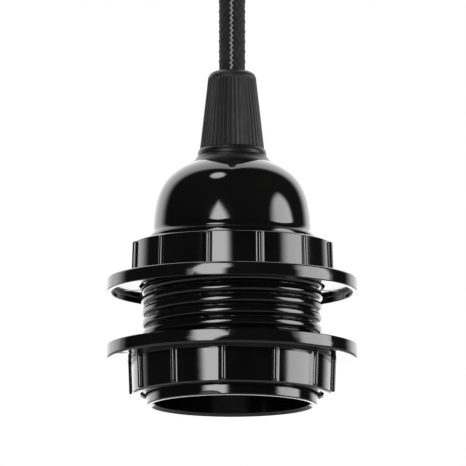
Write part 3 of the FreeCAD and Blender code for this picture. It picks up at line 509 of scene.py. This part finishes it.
def add_skirt():
    """The threaded tube, with the inner web that guards the shell and the seat of the carrier."""
    mouth, bevel, web_hole, chamber, seat = 17.0, 0.65, 13.9, 15.4, 16.2
    web_low, web_high, seat_level = 10.0, 12.0, 30.0
    inner = fillet([
        (seat, SKIRT_TOP, 0), (seat, seat_level, 0), (chamber, seat_level, 0),
        (chamber, web_high, 0.3), (web_hole, web_high, 0.2), (web_hole, web_low, 0.2),
        (mouth, web_low, 0.5), (mouth, bevel, 0.1), (mouth + bevel, 0.0, 0.08),
        (SKIRT_END, 0.0, 0.25), (SKIRT_END, THREAD_START, 0), (THREAD_ROOT, SKIRT_TOP, 0),
    ], steps=4)[:-2]
    outer = [(SKIRT_END, height) for height in spread(0.3, 0.9, 10) + spread(1.0, THREAD_START, 10)]
    outer += [(SKIRT_END, height) for height in spread(THREAD_START, THREAD_START + 0.6, 8)[1:]]
    outer += [(THREAD_ROOT, height) for height in spread(THREAD_START + 0.72, THREAD_TOP, 260)]
    outer += [(THREAD_ROOT, THREAD_TOP + 0.8), (THREAD_ROOT, SKIRT_TOP - 0.34)]
    outer += [(THREAD_ROOT - 0.1, SKIRT_TOP - 0.1), (THREAD_ROOT - 0.3, SKIRT_TOP)]
    near = [(GATE_ANGLE + offset) % 360.0 for offset in spread(-GATE_SPAN, GATE_SPAN, 40)]
    rest = [angle for angle in even_angles(180) if abs(from_gate(angle)) > GATE_SPAN + 0.5]
    angles = sorted(near + rest)
    piece = turned("skirt_moulding", inner + outer, angles, shape=thread_radius)
    dress(piece, "black_phenolic", "holder", "threaded_skirt")
    piece.data.materials.append(broken_phenolic())
    for face in piece.data.polygons:
        spot = face.center
        across = math.hypot(spot.x, spot.y) / MM
        angle = math.degrees(math.atan2(spot.x, -spot.y))
        height = (spot.z - MOUTH) / MM
        outside = across > SKIRT_END - GATE_DEPTH - 0.1 and height < GATE_HEIGHT
        if outside and gate_dip(angle, height) > 0.5:
            face.material_index = 1


add_skirt()


# ---- shade rings ------------------------------------------------------------------------------

RING_RIBS = 12
RIB_PITCH = 360.0 / RING_RIBS
RING_HEIGHT = 10.65
RIM_TOP = 3.0
COLLAR = 21.8
COLLAR_DRAFT = math.tan(math.radians(2.0))
RIB_PROUD = 0.75
RIB_HALF = 0.6
RIB_ROUND = 0.4
RIB_END = RING_HEIGHT - 0.3
RIB_FOOT = 0.7
RIB_FOOT_RISE = 0.15


def ring_relief(first_rib):
    """The drafted collar's half-round grip ribs, which start on the flange and end in a round."""
    def shape(angle, radius, height):
        offset = (angle - first_rib + RIB_PITCH / 2) % RIB_PITCH - RIB_PITCH / 2
        across = np.abs(np.radians(offset)) * COLLAR
        rib = np.sqrt(np.clip(1.0 - (across / RIB_HALF) ** 2.4, 0.0, 1.0))
        foot = RIB_FOOT_RISE * np.clip(1.0 - (across - RIB_HALF) / RIB_FOOT, 0.0, 1.0) ** 2
        drop = np.clip(height - (RIB_END - RIB_ROUND), 0.0, RIB_ROUND)
        top = RIB_PROUD - RIB_ROUND + np.sqrt(RIB_ROUND**2 - drop**2)
        top = top * (height < RIB_END + 0.01)
        on_collar = (height > RIM_TOP - 0.01) & (radius > COLLAR - 0.02) & (radius < COLLAR + 0.02)
        drafted = radius - (height - (RIM_TOP + RING_HEIGHT) / 2) * COLLAR_DRAFT
        return np.where(on_collar, drafted + np.maximum(rib * top, foot * (top > 0.0)), radius)
    return shape


def add_ring(name, node, base, upright, first_rib):
    """A ring with its flange's lip at the base level. Where upright is -1 it is turned over."""
    flange, lip_inner, lip, bore, bevel = 27.5, 26.2, 1.3, 19.85, 0.35
    section = fillet([
        (bore, lip, 0.15), (lip_inner, lip, 0.15), (lip_inner, 0.0, 0.15),
        (flange - 0.02, 0.0, 0.2), (flange, RIM_TOP / 2, 3.0), (flange - 0.02, RIM_TOP, 0.55),
        (COLLAR, RIM_TOP, 0),
    ], steps=5)[:-1]
    section += [(COLLAR + RIB_PROUD + 0.3, RIM_TOP)]
    heights = [RIM_TOP, RIM_TOP + 0.1] + spread(RIM_TOP + 0.4, RIB_END - RIB_ROUND - 0.1, 12)
    quarter = [math.sin(math.radians(turn)) for turn in spread(0, 90, 8)]
    heights += [RIB_END - RIB_ROUND * (1.0 - share) for share in quarter]
    section += [(COLLAR, height) for height in heights]
    section += fillet([
        (COLLAR - 0.03, RIB_END + 0.01, 0), (COLLAR - 0.13, RIB_END + 0.1, 0),
        (COLLAR - bevel, RING_HEIGHT, 0), (bore, RING_HEIGHT, 0.3), (bore, 9.0, 0),
    ], steps=4)[:-1]
    round_side = [RIB_HALF * math.sin(math.radians(turn)) for turn in spread(0.0, 90.0, 12)[1:-1]]
    offsets = round_side + spread(RIB_HALF, RIB_HALF + RIB_FOOT, 7) + [RIB_HALF + RIB_FOOT + 0.2]
    degrees = [math.degrees(offset / COLLAR) for offset in offsets]
    angles = []
    for rib in range(RING_RIBS):
        middle = first_rib + rib * RIB_PITCH
        angles += [middle] + [middle + side * value for value in degrees for side in (-1, 1)]
        angles += [middle + value for value in spread(6.5, 23.5, 8)]
    angles = sorted(angle % 360.0 for angle in angles)
    piece = turned(name, section, angles, ring_relief(first_rib), base, upright)
    dress(weigh_normals(piece), "black_phenolic", node, node)


add_ring("upper_ring_moulding", "upper_ring", 24.8, 1.0, -14.0)
add_ring("lower_ring_moulding", "lower_ring", 13.1, -1.0, -5.2)


# ---- domed cap --------------------------------------------------------------------------------


def arc_points(centre, radius, first, last, count):
    """Points round an arc, from one angle to the other in degrees."""
    turns = [math.radians(turn) for turn in spread(first, last, count)]
    return [
        (centre[0] + radius * math.cos(turn), centre[1] + radius * math.sin(turn)) for turn in turns
    ]


def curve_points(start, first, second, end, count):
    """Points along a cubic curve with those four handles."""
    handles = np.array([start, first, second, end])
    points = []
    for share in spread(0.0, 1.0, count):
        rest = 1.0 - share
        weights = np.array([rest**3, 3 * rest**2 * share, 3 * rest * share**2, share**3])
        points.append(tuple((weights @ handles).tolist()))
    return points


def add_dome():
    """A slightly drafted wall on a flared lip, a round shoulder and a concave neck."""
    foot, top = SKIRT_TOP, 54.8
    base, lip_top, lip_round = 17.32, 38.6, 2.3
    tip, neck_bend = 7.45, 3.2
    hole, boss, boss_low, spigot, spigot_low = 5.0, 7.2, 50.0, 16.1, 35.0
    inside, middle, inside_level = 9.6, 4.6, 41.7
    lip_turn = math.degrees(math.asin((lip_top - foot) / lip_round))
    lip = arc_points((base + lip_round, lip_top), lip_round, 180.0 + lip_turn, 180.0, 8)
    shoulder = curve_points((base, lip_top), (16.99, 46.1), (15.49, 50.58), (9.0, 53.2), 48)[1:]
    start = Vector(shoulder[-1])
    end = Vector((tip, top))
    chord = end - start
    out = Vector((chord.y, -chord.x)).normalized()
    centre = (start + end) / 2 + out * math.sqrt(neck_bend**2 - (chord.length / 2) ** 2)
    first = math.degrees(math.atan2(start.y - centre.y, start.x - centre.x)) % 360.0
    last = math.degrees(math.atan2(end.y - centre.y, end.x - centre.x)) % 360.0
    flare = arc_points(centre, neck_bend, first, last, 10)[1:]
    inner = [(hole, top), (hole, boss_low), (boss, boss_low)]
    inner_turn = math.degrees(math.acos((boss - middle) / inside))
    inner += arc_points((middle, inside_level), inside, inner_turn, 0.0, 12)
    inner += [(middle + inside, spigot_low), (spigot, spigot_low), (spigot, foot)]
    section = inner + lip + shoulder + flare
    piece = turned("dome_moulding", section, even_angles(192))
    dress(weigh_normals(piece), "black_phenolic", "holder", "dome_cap")


add_dome()


# ---- cord grip --------------------------------------------------------------------------------

GRIP_RIBS = 40


def add_grip():
    """The ribbed cap: fine upright ribs with round tops that die out under the crown."""
    base, crown, top = 56.3, 15.75, 17.15
    foot_radius, tip_radius = 7.0, 5.2

    def shape(angle, radius, height):
        wave = 0.5 + 0.5 * np.cos(np.radians(angle) * GRIP_RIBS)
        fade = 1.0 - step(height, crown - 0.9, crown + 0.1)
        return np.where(radius > 4.9, radius - 0.3 * (1.0 - wave**0.6) * fade, radius)

    outer = [(foot_radius - 0.25, 0.0), (foot_radius - 0.08, 0.06), (foot_radius, 0.2)]
    outer += [
        (foot_radius + (tip_radius - foot_radius) * height / crown, height)
        for height in spread(0.4, crown - 1.0, 16) + spread(crown - 0.9, crown, 8)
    ]
    outer += [(5.08, crown + 0.25), (4.98, crown + 0.48), (4.82, crown + 0.7), (4.6, crown + 0.9)]
    outer += [(4.3, crown + 1.1), (3.95, crown + 1.25), (3.6, crown + 1.35), (3.3, crown + 1.4)]
    inner = [(3.15, top - 0.05), (3.03, top - 0.25), (3.03, 13.9), (4.2, 13.8), (5.6, 0.0)]
    angles = even_angles(GRIP_RIBS * 8)
    piece = turned("grip_ribbed_cap", outer + inner, angles, shape, base)
    dress(weigh_normals(piece), "grip_plastic", "holder", "grip_cap")


add_grip()


# ---- screw shell ------------------------------------------------------------------------------


def add_shell():
    """The rolled shell: one round wave a pitch, the same inside and out."""
    pitch, wall, low, straight, top = 3.63, 0.4, 11.0, 14.0, 19.0
    major, depth, rows, hole = 13.3, 1.1, 84, 9.5
    neck = major - 0.7

    def shape(angle, radius, height):
        wave = 0.5 + 0.5 * np.cos(math.tau * (height / pitch - angle / 360.0))
        ends = step(height, 0.0, 1.2) * (1.0 - step(height, straight - 1.2, straight))
        rolled = (radius > major - 0.3) & (height < straight)
        return np.where(rolled, radius - depth * (1.0 - wave) * ends, radius)

    outer = [(major + wall, height) for height in spread(0.0, straight, rows)]
    outer += fillet([
        (major + wall, straight + wall, 0.3), (neck + wall, straight + wall, 0.2),
        (neck + wall, top, 0.25), (hole, top, 0), (hole, top - wall, 0),
    ], steps=3)
    inner = fillet([
        (hole, top - wall, 0), (neck, top - wall, 0.3), (neck, straight, 0.2),
    ], steps=3)[1:]
    inner += [(major, height) for height in spread(straight, 0.0, rows)]
    piece = turned("shell_rolled", outer + inner, even_angles(144), shape, low)
    dress(weigh_normals(piece), "nickel_plate", "holder", "screw_shell")


add_shell()


# ---- CAD nodes that stay ----------------------------------------------------------------------


def finish_nodes():
    """Every CAD node that still shows gets its slot's finish."""
    slots = {part["node"]: part["material_slot"] for part in frame["record"]["subparts"]}
    for name, node in frame["nodes"].items():
        if node.hide_render:
            continue
        material = FINISHES[slots[name]]
        if not node.material_slots:
            node.data.materials.append(material)
        for place in node.material_slots:
            place.material = material


def press_spring():
    """Gives the plunger spring a mesh of its own."""
    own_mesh(frame["nodes"]["plunger_spring"])


finish_nodes()
press_spring()

# A real cord puts the rose far above the holder, where the dome doesn't mirror it.
for fitting in CORD_FITTINGS:
    frame["nodes"][fitting].visible_glossy = False


# ---- studio -----------------------------------------------------------------------------------


FLOOR_DROP = 4.5  # metres, so that the holder can be looked at from below
FLOOR_SIZE = 48.0  # metres


def add_floor():
    """A plain pale floor far under the hanging holder."""
    place = (0.0, 0.0, CAD_BOX[0].z - FLOOR_DROP)
    bpy.ops.mesh.primitive_plane_add(size=FLOOR_SIZE, location=place)
    floor = bpy.context.object
    floor.name = "floor"
    finish = Finish("floor_paint")
    finish.set(Roughness=0.7)
    cloud = finish.ranged(finish.noise(1.5, 3.0), 0.0, 1.0)
    finish.link("Base Color", finish.blend(cloud, grey(0.86), grey(0.82)))
    floor.data.materials.append(finish.material)


LAMP_DISTANCE = 0.9  # metres
LAMP_AIM = 30.0


def add_softbox(
    name, azimuth, elevation, width, height, radiance, skew=0.0, power=1.0, fade=(-0.5, -0.4, 1.0)
):
    """A diamond softbox that the holder sees at those angles and in those angular sizes.

    skew lifts its right corner, power rounds it, where 1 is a diamond and 2 an ellipse, and fade is
    two places across it, in shares from its middle, and the strength at the first of them.
    """
    data = bpy.data.lights.new(name, "AREA")
    data.shape = "RECTANGLE"
    data.size = 2 * LAMP_DISTANCE * math.tan(math.radians(width / 2))
    data.size_y = 2 * LAMP_DISTANCE * math.tan(math.radians(height / 2))
    data.energy = radiance * math.pi * data.size * data.size_y
    data.use_nodes = True
    net = Nodes(data.node_tree)
    place = net.split(net.node("ShaderNodeNewGeometry").outputs["Parametric"])
    across, up = (net.maths("SUBTRACT", part, 0.5) for part in place[:2])
    skewed = net.maths("SUBTRACT", up, net.maths("MULTIPLY", across, skew))
    shares = [
        net.maths("POWER", net.maths("MULTIPLY", net.maths("ABSOLUTE", part), 2.0), power)
        for part in (across, skewed)
    ]
    edge = net.ranged(net.maths("ADD", *shares), 0.0, 1.0, at=(1.0, 0.62**power), kind="SMOOTHSTEP")
    dim = net.ranged(across, fade[2], 1.0, at=fade[:2])
    strength = net.maths("MULTIPLY", edge, dim)
    net.tree.links.new(strength, net.tree.nodes["Emission"].inputs["Strength"])
    lamp = bpy.data.objects.new(name, data)
    scene.collection.objects.link(lamp)
    turn, lift = math.radians(azimuth), math.radians(elevation)
    flat = Vector((math.sin(turn), -math.cos(turn), 0.0))
    away = flat * math.cos(lift) + Vector((0.0, 0.0, math.sin(lift)))
    lamp.location = Vector((0.0, 0.0, level(LAMP_AIM))) + away * LAMP_DISTANCE
    lamp.rotation_mode = "QUATERNION"
    lamp.rotation_quaternion = away.to_track_quat("Z", "Y")
    lamp.visible_camera = False
    return lamp


ROOM_TURN = 0.114
PLAIN_LIGHT = 0.5
WALL_LIGHT = 2.1
FRONT_LIGHT = 0.02


def add_world():
    """A small studio: a white wall behind the holder, which its edges mirror, and dark in front.

    The camera sees white all round, and matt surfaces get the same light from everywhere.
    """
    world = bpy.data.worlds.new("studio")
    scene.world = world
    world.use_nodes = True
    net = Nodes(world.node_tree)
    rays = net.node("ShaderNodeLightPath").outputs
    sky = net.node("ShaderNodeTexCoord").outputs["Generated"]
    level_sky = net.node("ShaderNodeVectorMath", {0: sky, 1: (1.0, 1.0, 0.0)}, operation="MULTIPLY")
    bearing = net.node("ShaderNodeVectorMath", {0: level_sky.outputs[0]}, operation="NORMALIZE")
    right, back, _ = net.split(bearing.outputs[0])
    behind = net.maths("SUBTRACT", back, net.maths("MULTIPLY", right, ROOM_TURN))
    wall = net.ranged(behind, FRONT_LIGHT, WALL_LIGHT, at=(0.47, 0.75), kind="SMOOTHSTEP")
    mirrored = net.maths("MULTIPLY", wall, rays["Is Glossy Ray"])
    others = net.maths("SUBTRACT", 1.0, rays["Is Glossy Ray"])
    lit = net.maths("ADD", mirrored, net.maths("MULTIPLY", others, PLAIN_LIGHT))
    strength = net.maths("MAXIMUM", lit, rays["Is Camera Ray"])
    background = net.tree.nodes["Background"]
    net.tree.links.new(strength, background.inputs["Strength"])
    background.inputs["Color"].default_value = (1.0, 1.0, 1.0, 1.0)


add_floor()
add_softbox(
    "left_softbox", azimuth=-20.8, elevation=8.5, width=46.0, height=36.0, radiance=7.9,
    skew=0.18, fade=(-0.45, -0.2, 0.25),
)
add_softbox(
    "right_softbox", azimuth=79.5, elevation=10.0, width=51.0, height=45.0, radiance=6.0,
    skew=-0.25, power=1.4, fade=(-0.47, -0.2, 0.1),
)
top_softbox = add_softbox(
    "top_softbox", azimuth=-43.0, elevation=67.3, width=19.0, height=19.0, radiance=6.0, power=2.0
)
top_softbox.data.use_shadow = False  # the rose would shade the dome from it
add_world()

bpy.context.view_layer.update()
